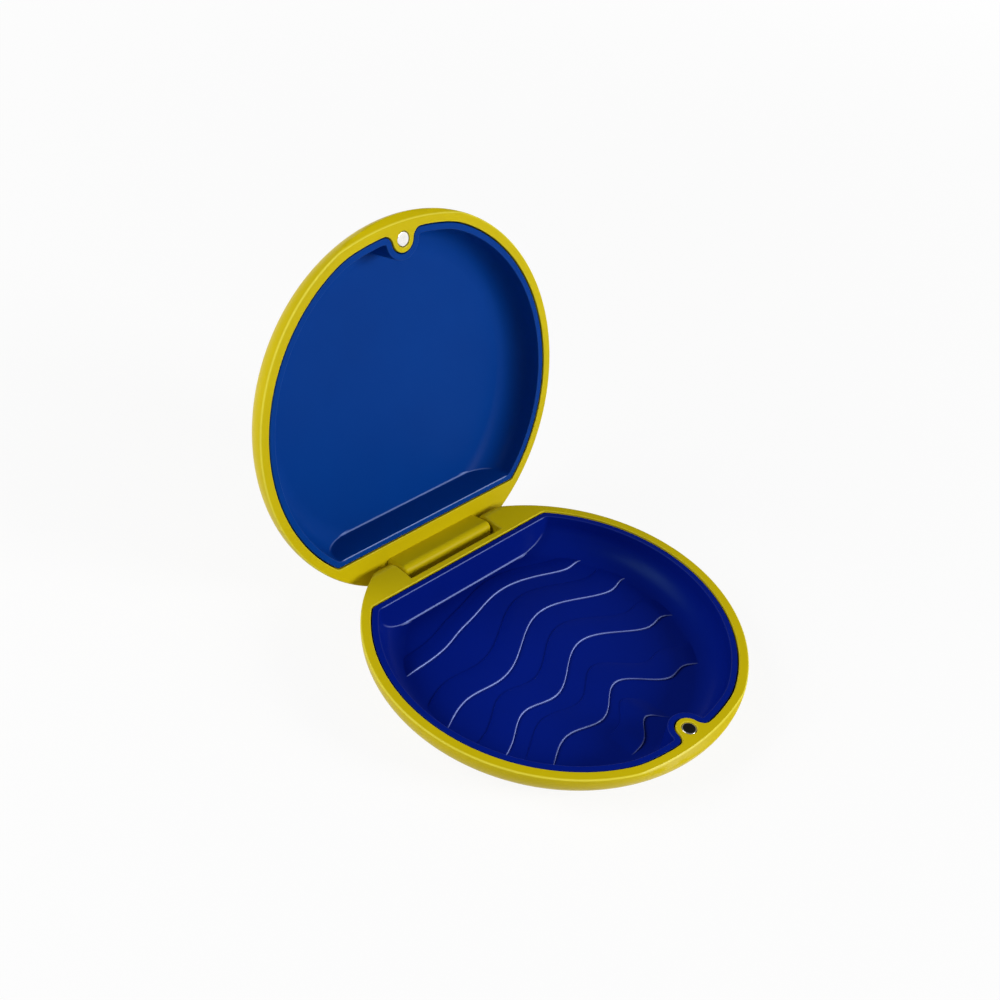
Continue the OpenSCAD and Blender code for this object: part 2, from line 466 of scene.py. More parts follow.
@dataclass(frozen=True)
class PlatedMetal:
    """Bare or plated metal with fine drawn scratches along one axis."""

    name: str
    tint: Triple
    tint_worn: Triple
    roughness: float
    scratch_scale: Triple
    scratch_height: float
    scratch_gloss: float = 0.16
    cloud_scale: float = 900.0
    cloud_gain: float = 1.5

    def material(self) -> bpy.types.Material:
        """Makes the material.

        Returns:
            The finished material.
        """
        made, graph = new_material(self.name)
        place = graph.add("ShaderNodeTexCoord", {}, {}, "Object")
        drawn = graph.add("ShaderNodeMapping", {}, {"Vector": place, "Scale": self.scratch_scale})
        scratch = graph.noise(drawn, 1.0, detail=3.0, rough=0.6)
        cloud = graph.noise(place, self.cloud_scale, detail=2.0).swing(self.cloud_gain, 0.5)
        sockets = {
            "Base Color": graph.blend(cloud, (*self.tint, 1.0), (*self.tint_worn, 1.0)),
            "Metallic": 1.0,
            "Roughness": scratch.swing(self.scratch_gloss, self.roughness),
            "Normal": graph.bump(scratch, self.scratch_height),
        }
        graph.surface(graph.add("ShaderNodeBsdfPrincipled", {}, sockets))
        return made


# Each finish's edge tint is the colour of the highlight painted on its marked edges
SHELL_YELLOW = MouldedPlastic(
    name="yellow_hard_plastic",
    tint=(0.62, 0.49, 0.003),
    tint_deep=(0.57, 0.45, 0.002),
    painted_highlight_tint=(0.85, 0.77, 0.08),
    painted_highlight_share=0.7,
    roughness=0.33,
    gloss_drift=0.12,
    specular=0.06,
    grain_scale=2600.0,
    grain_height=0.012,
)
LID_TRAY_BLUE = MouldedPlastic(
    name="blue_soft_plastic_lid",
    tint=(0.001, 0.044, 0.268),
    tint_deep=(0.001, 0.038, 0.24),
    painted_highlight_tint=(0.32, 0.42, 0.78),
    painted_highlight_share=0.85,
    roughness=0.36,
    gloss_drift=0.14,
    specular=0.03,
    grain_scale=3200.0,
    grain_height=0.008,
)
# The base tray is the lid tray's plastic with a darker tint: painted shade for the deeper, less lit bowl
BASE_TRAY_BLUE_PAINTED_SHADE = replace(
    LID_TRAY_BLUE,
    name="blue_soft_plastic_base_painted_shade",
    tint=(0.001, 0.0108, 0.216),
    tint_deep=(0.001, 0.0094, 0.188),
    painted_highlight_tint=(0.38, 0.48, 0.95),
    roughness=0.33,
    specular=0.06,
    sheen=(0.4, 0.9, 1.0),
)
MAGNET_NICKEL = PlatedMetal(
    name="bright_nickel_plate",
    tint=(0.78, 0.77, 0.75),
    tint_worn=(0.7, 0.69, 0.67),
    roughness=0.22,
    scratch_scale=(900.0, 9000.0, 900.0),
    scratch_height=0.003,
)
# Dark colour for the base magnet's ends: a painted dark reflection on the same nickel plate
MAGNET_PAINTED_DARK_REFLECTION = replace(
    MAGNET_NICKEL,
    name="nickel_painted_dark_reflection",
    tint=(0.03, 0.03, 0.032),
    tint_worn=(0.05, 0.05, 0.05),
    roughness=0.25,
)
PIN_STEEL = PlatedMetal(
    name="drawn_steel",
    tint=(0.6, 0.6, 0.61),
    tint_worn=(0.5, 0.5, 0.51),
    roughness=0.3,
    scratch_scale=(150.0, 7000.0, 7000.0),
    scratch_height=0.004,
)


class Loft:
    """A wall grown ring by ring: each ring is extruded from the last one and moved to its place."""

    def __init__(self, mesh: bmesh.types.BMesh, ring: Sequence[Vector]) -> None:
        """Starts a wall.

        Args:
            mesh: The mesh that it goes into.
            ring: Points of its first ring.
        """
        self.mesh = mesh
        self.place = mesh.verts.layers.int.get("place") or mesh.verts.layers.int.new("place")
        # Layer of painted highlights: a paler colour laid on edges where light would glint
        self.edge = mesh.verts.layers.float.get(PAINTED_HIGHLIGHT_LAYER) or mesh.verts.layers.float.new(PAINTED_HIGHLIGHT_LAYER)
        verts = [mesh.verts.new(point) for point in ring]
        for i, vert in enumerate(verts):
            vert[self.place] = i
        self.first = [mesh.edges.new((verts[i - 1], verts[i])) for i in range(len(verts))]
        self.rim = self.first
        self.start = verts
        self.end = verts

    def grow(self, ring: Sequence[Vector], painted_highlight: Union[float, Sequence[float]] = 0.0) -> None:
        """Adds the next ring.

        Args:
            ring: Its points, as many as in the first ring.
            painted_highlight: Strength of the highlight painted on its edge, for the ring or for each point.
        """
        grown = bmesh.ops.extrude_edge_only(self.mesh, edges=self.rim)["geom"]
        self.rim = [edge for edge in grown if isinstance(edge, bmesh.types.BMEdge) and edge.is_boundary]
        self.end = [vert for vert in grown if isinstance(vert, bmesh.types.BMVert)]
        self.end.sort(key=lambda vert: vert[self.place])
        shine = [painted_highlight] * len(ring) if isinstance(painted_highlight, float) else painted_highlight
        for vert, point, value in zip(self.end, ring, shine):
            vert.co = point
            vert[self.edge] = value

    def close(self) -> None:
        """Closes the last ring with a flat face."""
        bmesh.ops.contextual_create(self.mesh, geom=self.rim)

    def close_first(self) -> None:
        """Closes the first ring with a flat face."""
        bmesh.ops.contextual_create(self.mesh, geom=self.first)


def finish_piece(
    mesh: bmesh.types.BMesh,
    name: str,
    half: Half,
    sizes: CaseSizes,
    materials: Sequence[bpy.types.Material],
    node: str,
) -> None:
    """Turns a drawn mesh into a finished piece that stands for a node of the frame.

    Args:
        mesh: The drawn mesh, in millimetres.
        name: Name of the piece.
        half: The half that carries it.
        sizes: Lengths of the case.
        materials: Its materials.
        node: The node that it stands for.
    """
    mesh.transform(half.placing(sizes))
    bmesh.ops.remove_doubles(mesh, verts=mesh.verts, dist=MERGE_DISTANCE * MM)
    bmesh.ops.recalc_face_normals(mesh, faces=mesh.faces)
    for face in mesh.faces:
        face.smooth = True
    data = mesh_data(mesh, name)
    data.set_sharp_from_angle(angle=SHARP_ANGLE)
    for material in materials:
        data.materials.append(material)
    piece = put_in_scene(name, data)
    even = piece.modifiers.new("even_normals", "WEIGHTED_NORMAL")
    even.keep_sharp = True
    even.weight = NORMAL_WEIGHT
    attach(piece, half.value)
    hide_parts(node)
    LOG.info("%s: %d faces", name, len(data.polygons))


class Zone(Enum):
    """The stretches of an opening's outline."""

    STRAIGHT = "straight back edge"
    BEND = "start and end of a bend beside the back edge"
    CORNER = "middle of such a bend"
    ROUND = "round wall"
    BOSS = "way round the magnet boss"


CORNER_ZONES = (Zone.BEND, Zone.BEND, Zone.CORNER, Zone.CORNER, Zone.BEND)


@dataclass(frozen=True)
class OpeningOutline:
    """The opening of a half, seen from above: round, straight at the back, flatter at the boss in front."""

    sizes: CaseSizes
    chord_steps: int = 30
    arc_steps: int = 110
    flare_steps: int = 12
    nose_steps: int = 14
    corner_cut: float = 0.6
    front_blend: float = 0.12

    def zones(self) -> list[Zone]:
        """The stretch that each point of a ring belongs to.

        Returns:
            The zones in the ring's order.
        """
        half = [Zone.STRAIGHT] * self.chord_steps
        half += CORNER_ZONES
        half += [Zone.ROUND] * self.arc_steps
        half += [Zone.BOSS] * (self.flare_steps + self.nose_steps + 2)
        return [*half, *reversed(half[1:-1])]

    def ring(self, chord_in: float, wall_in: float, boss_grow: float, z: float) -> list[Vector]:
        """The outline at one height.

        Args:
            chord_in: Inset of the straight edge and of the flatter front edge.
            wall_in: Inset of the round wall.
            boss_grow: Growth of the boss.
            z: Height.

        Returns:
            The outline's points in order.
        """
        s = self.sizes
        radius = s.opening_r - wall_in
        back = s.chord_y - chord_in
        corner = (math.sqrt(radius**2 - back**2), back)
        turn = math.atan2(back, corner[0]) - self.corner_cut / radius
        before = (corner[0] - self.corner_cut, back)
        after = (radius * math.cos(turn), radius * math.sin(turn))
        half = line_points((0.0, back), before, self.chord_steps)
        for i in range(len(CORNER_ZONES)):
            t = i / len(CORNER_ZONES)
            a, b, c = (1 - t) ** 2, 2 * t * (1 - t), t * t
            half.append(tuple(a * before[k] + b * corner[k] + c * after[k] for k in (0, 1)))
        boss = self.boss(boss_grow)
        sweep = math.atan2(boss[0][1], boss[0][0]) - turn
        half.extend(arc_points((0.0, 0.0), radius, turn, sweep, self.arc_steps)[:-1])
        half.extend(boss)
        half = [self.held_in(x, y, radius, s.front_r - chord_in) for x, y in half]
        half[-1] = (0.0, half[-1][1])
        return mirrored_ring(half, z)

    def boss(self, grow: float) -> list[Flat]:
        """Right half of the way round the boss: a flare out of the front edge, then the round nose.

        Args:
            grow: Growth of the boss.

        Returns:
            The points from the front edge to the middle line.
        """
        s = self.sizes
        to_nose = s.boss_r + s.boss_round
        to_front = s.front_r - s.boss_round + s.flare_bite
        spread = s.notch_y - s.magnet_y
        rise = (to_nose**2 - to_front**2 + spread**2) / (2 * spread)
        centre = (math.sqrt(to_nose**2 - rise**2), s.magnet_y + rise)
        flare = math.atan2(centre[1] - s.notch_y, centre[0])
        lift = math.atan2(rise, centre[0])
        points = arc_points(centre, s.boss_round - grow, flare, lift - math.pi - flare, self.flare_steps)
        nose = (0.0, s.magnet_y)
        return points + arc_points(nose, s.boss_r + grow, lift, math.pi / 2 - lift, self.nose_steps)

    def held_in(self, x: float, y: float, radius: float, front: float) -> Flat:
        """Moves a point in to the round wall and to the flatter front edge, which blend smoothly.

        Args:
            x: Place along the hinge.
            y: Place from front to back.
            radius: Radius of the round wall.
            front: Radius of the front edge.

        Returns:
            The point's new place.
        """
        centre = self.sizes.notch_y
        reach = math.hypot(x, y - centre)
        past = self.front_blend * math.log1p(math.exp((reach - front) / self.front_blend))
        x, y = drawn_in(x, y, centre, reach - past)
        return drawn_in(x, y, 0.0, radius)


@dataclass(frozen=True)
class ShellForm:
    """A hard shell: a round bowl with a flat rim, a tray opening, a magnet boss and a finger notch."""

    sizes: CaseSizes
    outline: OpeningOutline
    half: Half
    edge_round: float = 0.2
    edge_sweep: float = math.radians(75)
    pocket_round: float = 0.35
    ear_round: float = 0.9
    land_half: float = 6.0
    knuckle_round: float = 0.8
    knuckle_corner: float = 1.4
    knuckle_sink: float = 0.8
    # Shares of the rim's painted highlight along the back and along the opening's edge
    back_painted_highlight: float = 0.3
    inner_painted_highlight: float = 0.45
    hole_chamfer: float = 0.12
    hole_bulge: float = 0.3
    wall_levels: tuple[float, ...] = (-1.5, -3.5, -4.6, -6.6)
    round_steps: int = 12
    front_steps: int = 120
    land_steps: int = 40
    pocket_steps: int = 14
    ear_steps: int = 7
    back_steps: int = 8
    edge_steps: int = 5
    hole_steps: int = 24
    bore_steps: int = 48
    knuckle_steps: int = 20
    corner_steps: int = 12
    end_steps: int = 6

    def profile(self) -> list[Flat]:
        """Outer profile from the foot to the rim.

        Returns:
            Radius and height of each level.
        """
        s = self.sizes
        corners = [
            (0.0, -s.half_h, 0.0),
            (s.foot_r, -s.half_h, s.foot_round),
            (s.shell_r, -s.wall_drop, s.shoulder_round),
            (s.shell_r, 0.0, s.rim_round),
            (0.0, 0.0, 0.0),
        ]
        return rounded_path(corners, self.round_steps)[1:-1]

    def level(self, radius: float, z: float, block: bool, pocket: bool) -> list[Vector]:
        """One ring of the outer wall.

        Args:
            radius: Radius of the round wall.
            z: Height.
            block: Whether the hinge block stands out of the flank here.
            pocket: Whether the hinge pocket is open here.

        Returns:
            The ring's points in order.
        """
        s = self.sizes
        lid = self.half is Half.LID
        dip = max(0.0, z + self.pocket_round)
        ease = self.pocket_round - math.sqrt(max(0.0, self.pocket_round**2 - dip**2))
        back = s.hinge_y + s.hinge_drop - ease if lid else s.back_y(z)
        reach = math.sqrt(max(0.0, radius**2 - back**2))
        side = max(reach, self.land_half if lid else s.block_half)
        square = block and not lid
        wall = s.pocket_half + ease if pocket else s.pocket_half
        ear = wall + self.ear_round
        front = s.pocket_y - ease

        def back_line(x: float) -> Flat:
            """Point of the back at a place along the hinge."""
            return x, back if square else min(back, math.sqrt(max(0.0, radius**2 - x * x)))

        if lid:
            half = [back_line(side * i / self.land_steps) for i in range(self.land_steps)]
        elif pocket:
            half = line_points((0.0, front), (wall, front), self.pocket_steps)
            half.append((wall, front))
            centre = (ear, back - self.ear_round)
            half += arc_points(centre, self.ear_round, math.pi, -math.pi / 2, self.ear_steps)
            half += line_points((ear, back), (side, back), self.back_steps)[1:]
        else:
            half = [back_line(wall * i / self.pocket_steps) for i in range(self.pocket_steps)]
            # The doubled point stands for the corner of the pocket, which isn't open here
            half.append(half[-1])
            half += [back_line(wall + self.ear_round * i / self.ear_steps) for i in range(self.ear_steps + 1)]
            half += [back_line(ear + (side - ear) * i / self.back_steps) for i in range(1, self.back_steps)]
        if not lid:
            half.append(back_line(side))
        start = math.atan2(math.sqrt(max(0.0, radius**2 - side**2)), side)
        half += arc_points((0.0, 0.0), radius, start, -math.pi / 2 - start, self.front_steps)
        # The front half is drawn in to the crescent finger notch, which leans out below the rim
        half = [(x, y) if y > 0 else drawn_in(x, y, s.notch_y, s.notch_r - z) for x, y in half]
        half[-1] = (0.0, half[-1][1])
        return mirrored_ring(half, z)

    def levels(self) -> list[list[Vector]]:
        """All rings of the outer wall from the foot to the rim.

        Returns:
            The rings in order.
        """
        s = self.sizes
        path = self.profile()
        if self.half is Half.LID:
            return [self.level(r, z, False, False) for r, z in path]
        radii, heights = zip(*path)
        block_z = -s.block_depth
        pocket_z = -s.pocket_depth
        block_r, pocket_r = np.interp((block_z, pocket_z), heights, radii)
        steps = [(z, r, z > block_z, z > pocket_z) for r, z in path]
        # Two rings at one height make the step where the block and the pocket begin
        for begun in (False, True):
            steps.append((block_z, block_r, begun, False))
            steps.append((pocket_z, pocket_r, True, begun))
        steps.sort(key=lambda step: (step[0], step[2], step[3]))
        return [self.level(r, z, block, pocket) for z, r, block, pocket in steps]

    def draw(self) -> bmesh.types.BMesh:
        """Draws the shell.

        Returns:
            The closed mesh, in millimetres.
        """
        s = self.sizes
        mesh = bmesh.new()
        rings = self.levels()
        outer = Loft(mesh, rings[0])
        outer.close_first()
        for ring in rings[1:]:
            # The rim's outer rounding gets a painted highlight, weaker along the back
            shine = rounding_shine(1.0 + ring[0].z / s.rim_round)
            outer.grow(ring, [shine * (self.back_painted_highlight if place.y > s.chord_y else 1.0) for place in ring])
        edge = self.edge_round
        inner = Loft(mesh, self.outline.ring(-edge, -edge, -edge, 0.0))
        for x, z in arc_points((0.0, 0.0), edge, self.edge_sweep, -self.edge_sweep, self.edge_steps):
            ease = x - edge
            ring = self.outline.ring(ease, ease, ease, z - edge)
            # The opening's rounded edge gets a weaker painted highlight
            inner.grow(ring, self.inner_painted_highlight * rounding_shine(z / edge))
        for z in (*self.wall_levels, s.pocket_z):
            inner.grow(self.outline.ring(0.0, s.opening_r - s.flank_r(z), 0.0, z))
        inner.close()
        hole_r = s.magnet_r + s.magnet_gap
        bulge = self.hole_bulge * self.hole_chamfer
        hole = Loft(mesh, self.hole_ring(hole_r + self.hole_chamfer, 0.0))
        # The hole's chamfer gets a full painted highlight, a pale glint beside the magnet
        hole.grow(self.hole_ring(hole_r + bulge, -bulge), 1.0)
        hole.grow(self.hole_ring(hole_r, -self.hole_chamfer))
        hole.grow(self.hole_ring(hole_r, -s.magnet_t - s.magnet_recess))
        hole.close()
        self.close_rim(mesh, outer.end, hole.start, inner.start)
        if self.half is Half.LID:
            self.add_knuckle(mesh)
            return mesh
        start = -s.pin_half - s.pin_run_gap
        return self.bored(mesh, s.pin_r + s.pin_hold_gap, start, s.shell_r, -s.hinge_drop)

    def bored(
        self, mesh: bmesh.types.BMesh, radius: float, start: float, end: float, z: float
    ) -> bmesh.types.BMesh:
        """Bores a hole for the pin along the hinge.

        Args:
            mesh: The closed form without the hole.
            radius: Radius of the hole.
            start: Where the hole starts along the hinge.
            end: Where it ends.
            z: Height of the hole.

        Returns:
            The form with the hole, which takes the place of the first mesh.
        """
        bmesh.ops.remove_doubles(mesh, verts=mesh.verts, dist=MERGE_DISTANCE)
        bmesh.ops.recalc_face_normals(mesh, faces=mesh.faces)
        drill = bmesh.new()
        along = Matrix.Rotation(math.pi / 2, 4, "Y")
        place = Matrix.Translation(((start + end) / 2, self.sizes.hinge_y, z)) @ along
        add_rod(drill, radius, end - start, place, self.bore_steps)
        host = put_in_scene("undrilled_form", mesh_data(mesh, "undrilled_form"))
        tool = put_in_scene("drill", mesh_data(drill, "drill"))
        bore = host.modifiers.new("bore", "BOOLEAN")
        bore.object = tool
        bore.solver = "EXACT"
        view = bpy.context.evaluated_depsgraph_get()
        cut = bpy.data.meshes.new_from_object(host.evaluated_get(view))
        made = bmesh.new()
        made.from_mesh(cut)
        for data in (host.data, tool.data, cut):
            bpy.data.meshes.remove(data)
        return made

    def close_rim(
        self,
        mesh: bmesh.types.BMesh,
        edge: list[bmesh.types.BMVert],
        hole: list[bmesh.types.BMVert],
        opening: list[bmesh.types.BMVert],
    ) -> None:
        """Closes the flat rim with a right and a left face, which part at the middle line.

        Args:
            mesh: The shell's mesh.
            edge: Outer ring of the rim, from the middle of the back.
            hole: Ring of the magnet's hole, from its back.
            opening: Ring of the opening, from the middle of its straight edge.
        """
        sides = []
        for ring in (edge, hole, opening):
            front = len(ring) // 2
            sides.append((ring[: front + 1], [ring[0], *reversed(ring[front:])]))
        for side in (0, 1):
            outer, disc, inner = (ring[side] for ring in sides)
            mesh.faces.new([*outer, *reversed(disc), *reversed(inner)])

    def hole_ring(self, radius: float, z: float) -> list[Vector]:
        """Ring of the magnet's hole at a height."""
        half = arc_points((0.0, self.sizes.magnet_y), radius, math.pi / 2, -math.pi, self.hole_steps)
        return mirrored_ring(half, z)

    def add_knuckle(self, mesh: bmesh.types.BMesh) -> None:
        """Adds the hinge knuckle to the lid: round below, squarer above, with rounded ends and a bore.

        Args:
            mesh: The lid shell's mesh.
        """
        s = self.sizes
        middle = s.hinge_drop + s.rim_gap

        def ring(x: float, ease: float) -> list[Vector]:
            """Section of the knuckle.

            Args:
                x: Place along the hinge.
                ease: Inset of the section there.

            Returns:
                The section's points in order.
            """
            radius = s.knuckle_r - ease
            bend = self.knuckle_corner - ease
            section = arc_points((s.hinge_y, middle), radius, 0.0, math.pi / 2, self.knuckle_steps)
            corner = (s.hinge_y - radius + bend, middle + radius - bend)
            section += arc_points(corner, bend, math.pi / 2, math.pi / 2, self.corner_steps)
            section += [(y, -self.knuckle_sink) for y in (s.hinge_y - radius, s.hinge_y + radius)]
            return [Vector((x, y, z)) for y, z in section]

        rounding = self.knuckle_round
        turns = [math.pi / 2 * i / self.end_steps for i in range(self.end_steps + 1)]
        ends = [(rounding * (1 - math.cos(a)), rounding * (1 - math.sin(a))) for a in turns]
        stations = [(-s.knuckle_half + step, ease) for step, ease in ends]
        stations += [(s.knuckle_half - step, ease) for step, ease in reversed(ends)]
        solid = bmesh.new()
        wall = Loft(solid, ring(*stations[0]))
        wall.close_first()
        for station in stations[1:]:
            wall.grow(ring(*station))
        wall.close()
        made = self.bored(solid, s.pin_r + s.pin_run_gap, -s.pocket_half, s.pocket_half, middle)
        data = mesh_data(made, "knuckle")
        mesh.from_mesh(data)
        bpy.data.meshes.remove(data)


@dataclass(frozen=True)
class DrainWave:
    """One wavy rib of the base tray: a main crest, lower crests on its left and at its right end, a tilt."""

    from_chord: float
    crest_x: float
    crest_h: float
    crest_w: float
    side_x: float
    side_h: float
    side_w: float
    tilt: float
    width_share: float = 1.0
    end_h: float = 2.1
    end_w: float = 3.7
    end_r: float = 29.4
    left: float = -32.0
    right: float = 32.0

    def front(self, chord_y: float, x: float) -> float:
        """Place of the rib's front edge.

        Args:
            chord_y: Place of the straight back edge.
            x: Place along the hinge.

        Returns:
            The edge's distance from the middle, from front to back.
        """
        level = chord_y - self.from_chord
        end_x = math.sqrt(self.end_r**2 - level**2)
        crest = swell(x, self.crest_x, self.crest_h, self.crest_w)
        side = swell(x, self.side_x, self.side_h, self.side_w)
        return level + crest + side + swell(x, end_x, self.end_h, self.end_w) + self.tilt * x


# Distance from the back edge, then place, height and width of the main and of the left crest, then tilt
DRAIN_WAVES = (
    DrainWave(14.7, 6.6, 7.3, 16.8, -10.4, 0.6, 4.6, -0.03, width_share=0.68),
    DrainWave(27.4, 6.7, 9.2, 14.6, -22.8, 3.7, 8.8, 0.1),
    DrainWave(39.5, 7.1, 10.2, 12.8, -16.2, 5.0, 7.1, 0.06),
    DrainWave(50.2, 4.1, 8.7, 7.7, -14.1, 6.1, 8.9, 0.04),
    DrainWave(55.7, 1.8, 4.5, 3.8, -14.0, 0.3, 5.0, 0.0, end_h=0.0, left=-8.5, right=6.6),
)
# Painted highlight on the lip's straight edge, on the rest of the lip and in the floor's crease
LINE_SHINE = {Half.BASE: (0.45, 0.04, 0.8), Half.LID: (1.0, 0.04, 0.7)}
# Place behind a rib's front edge, share of its height, and painted highlight
RIB_CREST = ((0.0, 0.55, 0.1), (0.03, 0.75, 0.9), (0.09, 0.92, 1.0), (0.18, 1.0, 0.15), (0.35, 1.0, 0.0))
# Place before a rib's rear edge, and share of its height
RIB_REAR = ((1.6, 0.64), (0.8, 0.5), (0.25, 0.34))


@dataclass(frozen=True)
class TrayForm:
    """A soft inset tray: a lip round the opening, steep walls, a dished floor and drain ribs in the base."""

    sizes: CaseSizes
    outline: OpeningOutline
    half: Half
    seat_lift: float = 0.02
    lip_round: float = 0.2
    dish_top: float = 0.9
    boss_draft: float = 0.02
    crease_round: float = 0.35
    crease_climb: float = 3.2
    climb_shine: float = 0.6
    rib_end_r: float = 32.2
    rib_middle: float = 0.88
    rib_fade: float = 4.8
    rib_sink: float = 0.3
    rib_bury: float = 0.02
    rib_dim: float = 0.6
    wall_levels: tuple[float, ...] = (-6.6, -4.6, -2.5)
    round_steps: int = 6
    dish_steps: int = 18
    rib_steps: int = 110
    search_steps: int = 200

    def draw(self) -> bmesh.types.BMesh:
        """Draws the tray.

        Returns:
            The closed mesh, in millimetres.
        """
        s = self.sizes
        mesh = bmesh.new()
        gap = s.tray_gap
        foot = s.opening_r - s.flank_r(s.pocket_z) + gap
        wall = Loft(mesh, self.outline.ring(gap, foot, gap, s.pocket_z + self.seat_lift))
        wall.close_first()
        for z in self.wall_levels:
            wall.grow(self.outline.ring(gap, s.opening_r - s.flank_r(z) + gap, gap, z))
        lip_z = -s.tray_drop - self.lip_round
        # The lip's rounded edge gets a painted highlight, strongest along the straight edge
        lip_shine, round_shine, crease_shine = LINE_SHINE[self.half]
        zones = self.outline.zones()
        shares = [lip_shine if zone is Zone.STRAIGHT else round_shine for zone in zones]
        for out, up in arc_points((0.0, 0.0), self.lip_round, 0.0, math.pi / 2, self.round_steps):
            inset = gap + self.lip_round - out
            wall.grow(self.outline.ring(inset, inset, inset, lip_z + up))
        for out, up in arc_points((0.0, 0.0), self.lip_round, math.pi / 2, -math.pi / 2, self.round_steps):
            inset = gap + s.tray_lip - self.lip_round + out
            shine = rounding_shine(up / self.lip_round)
            wall.grow(self.outline.ring(inset, inset, inset, lip_z + up), [shine * share for share in shares])
        # The crease where the walls meet the floor gets a painted highlight line, which climbs a little way
        # up the bends
        for radius, z in self.dish():
            rise = z - s.cavity_z
            climb = max(0.0, 1.0 - rise / self.crease_climb) * min(1.0, rise / self.lip_round)
            line = crease_shine * rounding_shine(1.0 - rise / self.crease_round) ** 2
            bend = max(line, crease_shine * self.climb_shine * climb)
            crease = {Zone.STRAIGHT: line, Zone.BEND: line, Zone.CORNER: bend}
            ring = self.outline.ring(self.chord_inset(z), s.opening_r - radius, self.boss_inset(z), z)
            wall.grow(ring, [crease.get(zone, 0.0) for zone in zones])
        wall.close()
        if self.half is Half.BASE:
            for wave in DRAIN_WAVES:
                self.add_rib(mesh, wave)
        return mesh

    def dish(self) -> list[Flat]:
        """Profile of the round wall, from below the lip to the flat floor.

        Returns:
            Radius and height of each level.
        """
        s = self.sizes
        slope = math.tan(s.wall_draft)
        wall_r = s.opening_r - s.tray_gap - s.tray_lip
        corners = [
            (wall_r - self.dish_top * slope, -self.dish_top, 0.0),
            (wall_r + s.cavity_z * slope, s.cavity_z, s.dish_round),
            (0.0, s.cavity_z, 0.0),
        ]
        return rounded_path(corners, self.dish_steps)[:-1]

    def chord_inset(self, z: float) -> float:
        """Inset of the straight wall, with a tight rounding where it meets the floor.

        Args:
            z: Height.

        Returns:
            The inset there.
        """
        s = self.sizes
        below = max(0.0, self.crease_round - max(0.0, z - s.cavity_z))
        ease = self.crease_round - math.sqrt(self.crease_round**2 - below**2)
        return s.tray_gap + s.tray_lip - z * math.tan(s.wall_draft) + ease

    def boss_inset(self, z: float) -> float:
        """Growth of the tray's wall round the boss at a height."""
        return self.sizes.tray_gap + self.sizes.tray_lip - self.boss_draft * z

    def rib_edge(self, wave: DrainWave, rise: float) -> list[Flat]:
        """Points along an edge of a rib, out to where the dished wall covers it.

        Args:
            wave: The rib's wave.
            rise: Distance of the edge behind the rib's front edge.

        Returns:
            The points from left to right.
        """
        chord_y = self.sizes.chord_y
        spread = [self.rib_end_r * (i / self.search_steps - 1) for i in range(2 * self.search_steps + 1)]
        kept = [x for x in spread if math.hypot(x, wave.front(chord_y, x) + rise) < self.rib_end_r]
        kept = [x for x in kept if wave.left < x < wave.right]
        span = [kept[0] + (kept[-1] - kept[0]) * i / self.rib_steps for i in range(self.rib_steps + 1)]
        return [(x, wave.front(chord_y, x) + rise) for x in span]

    def add_rib(self, mesh: bmesh.types.BMesh, wave: DrainWave) -> None:
        """Adds one wavy rib with a crisp front edge and a soft rear; the highlight painted on the front edge
        is dimmer where the wave falls, on the stretches that face away from the key light.

        Args:
            mesh: The tray's mesh.
            wave: The rib's wave.
        """
        s = self.sizes
        width = wave.width_share * s.rib_w
        soft = [(width - place, height, 0.0) for place, height in RIB_REAR]
        section = [*RIB_CREST, (0.5 * width, self.rib_middle, 0.0), *soft]
        low = s.cavity_z - self.rib_sink
        wall = None
        fronts = self.rib_edge(wave, 0.0)
        step = fronts[1][0] - fronts[0][0]
        for i, (front, rear) in enumerate(zip(fronts, self.rib_edge(wave, width))):
            # The rib rises smoothly out of the floor at both ends
            near = min(1.0, min(i, self.rib_steps - i) * step / self.rib_fade)
            fade = near**2 * (3.0 - 2.0 * near)
            # The painted highlight dims where the wave falls, where the edge faces away from the key light
            fall = (front[1] - fronts[min(i + 1, self.rib_steps)][1]) / step
            lit = fade * (1.0 - self.rib_dim * min(1.0, max(0.0, fall)))
            ring = [Vector((*front, low))]
            for place, height, _ in section:
                x, y = Vector(front).lerp(Vector(rear), place / width)
                ring.append(Vector((x, y, s.cavity_z - self.rib_bury + s.rib_h * height * fade)))
            ring.append(Vector((*rear, low)))
            if wall is None:
                wall = Loft(mesh, ring)
                wall.close_first()
            else:
                wall.grow(ring, [0.0, *(shine * lit for _, _, shine in section), 0.0])
        wall.close()


@dataclass(frozen=True)
class MagnetForm:
    """A closing magnet: a disc with rounded edges, its two ends in one material and its edge in another, so
    that the ends can carry a painted dark reflection.
    """

    sizes: CaseSizes
    edge_round: float = 0.26
    edge_steps: int = 4
    sides: int = 64

    def draw(self) -> bmesh.types.BMesh:
        """Draws the disc in its hole.

        Returns:
            The closed mesh, in millimetres.
        """
        s = self.sizes
        mesh = bmesh.new()
        middle = Matrix.Translation((0, s.magnet_y, -s.magnet_recess - s.magnet_t / 2))
        add_rod(mesh, s.magnet_r, s.magnet_t, middle, self.sides)
        bevel_ends(mesh, self.edge_round, self.edge_steps)
        for face in mesh.faces:
            face.material_index = int(len(face.verts) == 4)
        return mesh


@dataclass(frozen=True)
class PinForm:
    """The hinge pin: a drawn steel rod with bevelled ends."""

    sizes: CaseSizes
    end_bevel: float = 0.25
    bevel_steps: int = 3
    sides: int = 48

    def draw(self) -> bmesh.types.BMesh:
        """Draws the pin along the hinge.

        Returns:
            The closed mesh, in millimetres.
        """
        s = self.sizes
        mesh = bmesh.new()
        turn = Matrix.Translation((0, s.hinge_y, -s.hinge_drop)) @ Matrix.Rotation(math.pi / 2, 4, "Y")
        add_rod(mesh, s.pin_r, 2 * s.pin_half, turn, self.sides)
        bevel_ends(mesh, self.end_bevel, self.bevel_steps)
        return mesh


